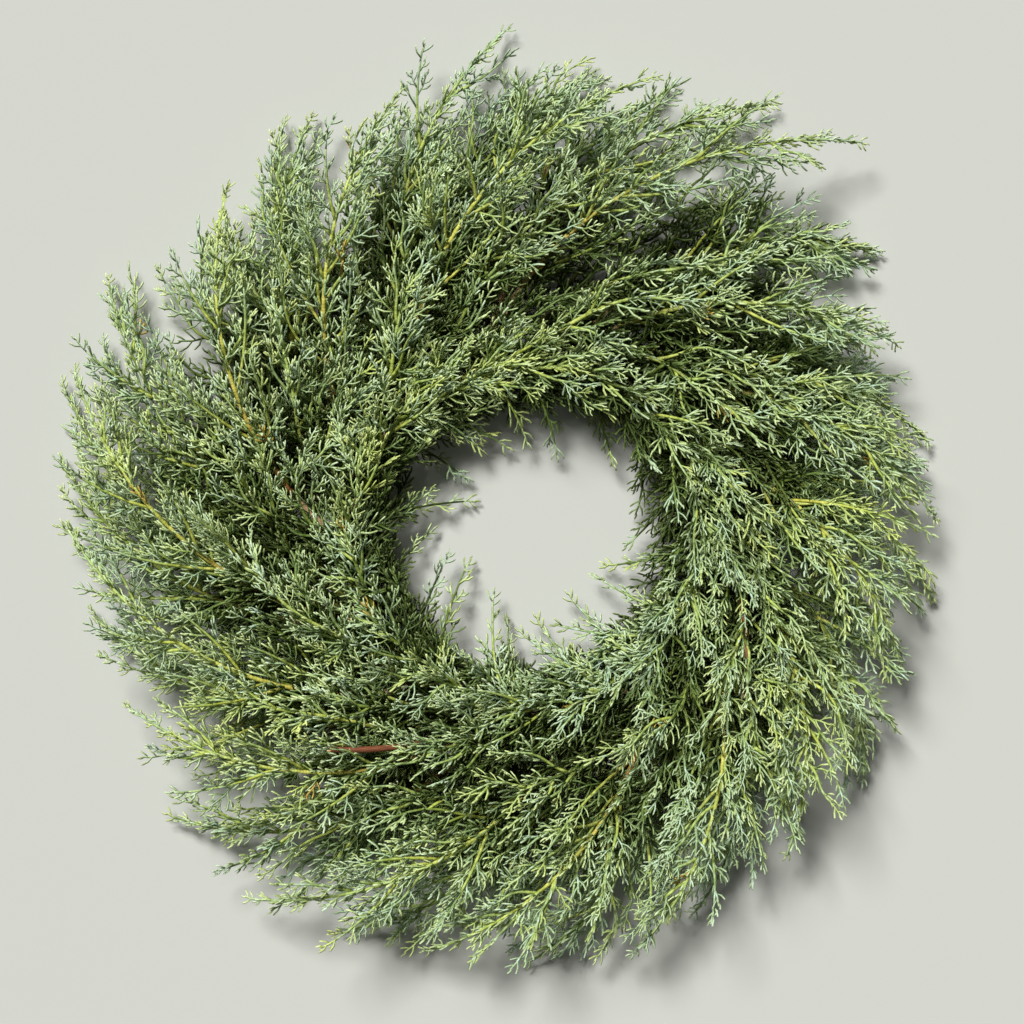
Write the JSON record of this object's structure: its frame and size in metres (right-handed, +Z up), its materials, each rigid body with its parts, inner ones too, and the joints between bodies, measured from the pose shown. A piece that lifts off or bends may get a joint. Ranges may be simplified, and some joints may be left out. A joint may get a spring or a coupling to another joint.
{
  "type": "fresh evergreen wreath",
  "caption": "Fresh cypress wreath lying face up: a welded wire ring with wired-on bunches of woody stems and leafy sprays that sweep clockwise round an open middle.",
  "frame": {"origin": "middle of the bounding box seen from above, on the surface that the wreath lies on; the middle of the wire ring is 21 mm along +X and 26 mm along -Y from it", "axes": "+Z up out of the wreath's face; +Y towards 12 o'clock, the wreath's longest way; +X towards 3 o'clock"},
  "size_m": [0.5486, 0.5876, 0.0802],
  "materials": {
    "frame_wire": "dark green enamel on welded steel wire, satin",
    "binding_wire": "green lacquered florist's wire, satin",
    "woody_stems": "young bark, orange to red-brown, matt",
    "low_foliage": "living scale leaves, blue-green with a waxy bloom, matt",
    "high_foliage": "living scale leaves, grey-green with yellow-green tips, matt",
    "inner_foliage": "living scale leaves, deeper green, matt"
  },
  "bodies": {
    "root": {"wire_frame": "frame_wire", "binding_wire": "binding_wire", "stems_01": "woody_stems", "stems_02": "woody_stems", "stems_03": "woody_stems", "stems_04": "woody_stems", "stems_05": "woody_stems", "stems_06": "woody_stems", "stems_07": "woody_stems", "stems_08": "woody_stems", "stems_09": "woody_stems", "stems_10": "woody_stems", "stems_11": "woody_stems", "stems_12": "woody_stems", "stems_13": "woody_stems", "stems_14": "woody_stems", "spray_low_01": "low_foliage", "spray_low_02": "low_foliage", "spray_low_03": "low_foliage", "spray_low_04": "low_foliage", "spray_low_05": "low_foliage", "spray_low_06": "low_foliage", "spray_low_07": "low_foliage", "spray_low_08": "low_foliage", "spray_low_09": "low_foliage", "spray_low_10": "low_foliage", "spray_low_11": "low_foliage", "spray_low_12": "low_foliage", "spray_low_13": "low_foliage", "spray_low_14": "low_foliage", "spray_high_01": "high_foliage", "spray_high_02": "high_foliage", "spray_high_03": "high_foliage", "spray_high_04": "high_foliage", "spray_high_05": "high_foliage", "spray_high_06": "high_foliage", "spray_high_07": "high_foliage", "spray_high_08": "high_foliage", "spray_high_09": "high_foliage", "spray_high_10": "high_foliage", "spray_high_11": "high_foliage", "spray_high_12": "high_foliage", "spray_high_13": "high_foliage", "spray_high_14": "high_foliage", "spray_inner_01": "inner_foliage", "spray_inner_02": "inner_foliage", "spray_inner_03": "inner_foliage", "spray_inner_04": "inner_foliage", "spray_inner_05": "inner_foliage", "spray_inner_06": "inner_foliage", "spray_inner_07": "inner_foliage", "spray_inner_08": "inner_foliage", "spray_inner_09": "inner_foliage", "spray_inner_10": "inner_foliage", "spray_inner_11": "inner_foliage", "spray_inner_12": "inner_foliage", "spray_inner_13": "inner_foliage", "spray_inner_14": "inner_foliage"}
  },
  "joints": []
}
